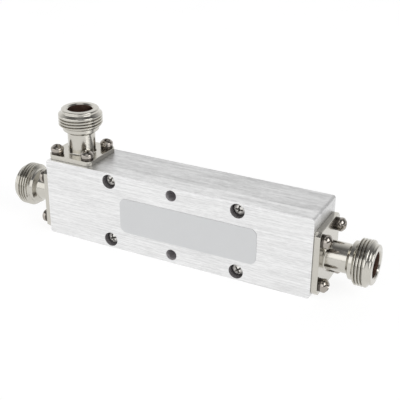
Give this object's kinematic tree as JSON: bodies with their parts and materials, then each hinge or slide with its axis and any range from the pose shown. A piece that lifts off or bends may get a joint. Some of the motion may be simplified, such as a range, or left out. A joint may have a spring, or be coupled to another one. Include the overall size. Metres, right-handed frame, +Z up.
{
  "type": "directional coupler",
  "caption": "Coaxial directional coupler: milled aluminium body with coupled line bars inside, threaded sockets at both ends and on top, and through holes for mounting.",
  "frame": {"origin": "middle of the body's long bottom face, on which the coupler stands", "axes": "+X from the input socket to the output socket, +Y from the cover to the back, +Z up along the coupled socket"},
  "size_m": [0.1386, 0.0202, 0.047],
  "materials": {
    "body_aluminium": "brushed along the length, clear finish",
    "shell_nickel": "bright nickel plating over brass",
    "screw_nickel": "bright nickel-plated steel",
    "washer_steel": "dark spring steel",
    "label_foil": "satin grey foil",
    "ptfe": "waxy white",
    "contact_gold": "gold plated",
    "line_silver": "silver plated",
    "alumina": "matte"
  },
  "bodies": {
    "root": {"rear_housing": "body_aluminium", "front_cover": "body_aluminium", "cover_screws": "screw_nickel", "blank_label": "label_foil", "input_shell": "shell_nickel", "output_shell": "shell_nickel", "coupled_shell": "shell_nickel", "input_insulator": "ptfe", "output_insulator": "ptfe", "coupled_insulator": "ptfe", "input_contact": "contact_gold", "output_contact": "contact_gold", "coupled_contact": "contact_gold", "input_flange_screws": "screw_nickel", "output_flange_screws": "screw_nickel", "coupled_flange_screws": "screw_nickel", "input_lock_washers": "washer_steel", "output_lock_washers": "washer_steel", "coupled_lock_washers": "washer_steel", "main_line_bar": "line_silver", "coupled_line_bar": "line_silver", "left_bar_support": "ptfe", "right_bar_support": "ptfe", "load_flange": "line_silver", "load_chip": "alumina", "load_tab": "line_silver", "load_screws": "screw_nickel"}
  },
  "joints": []
}
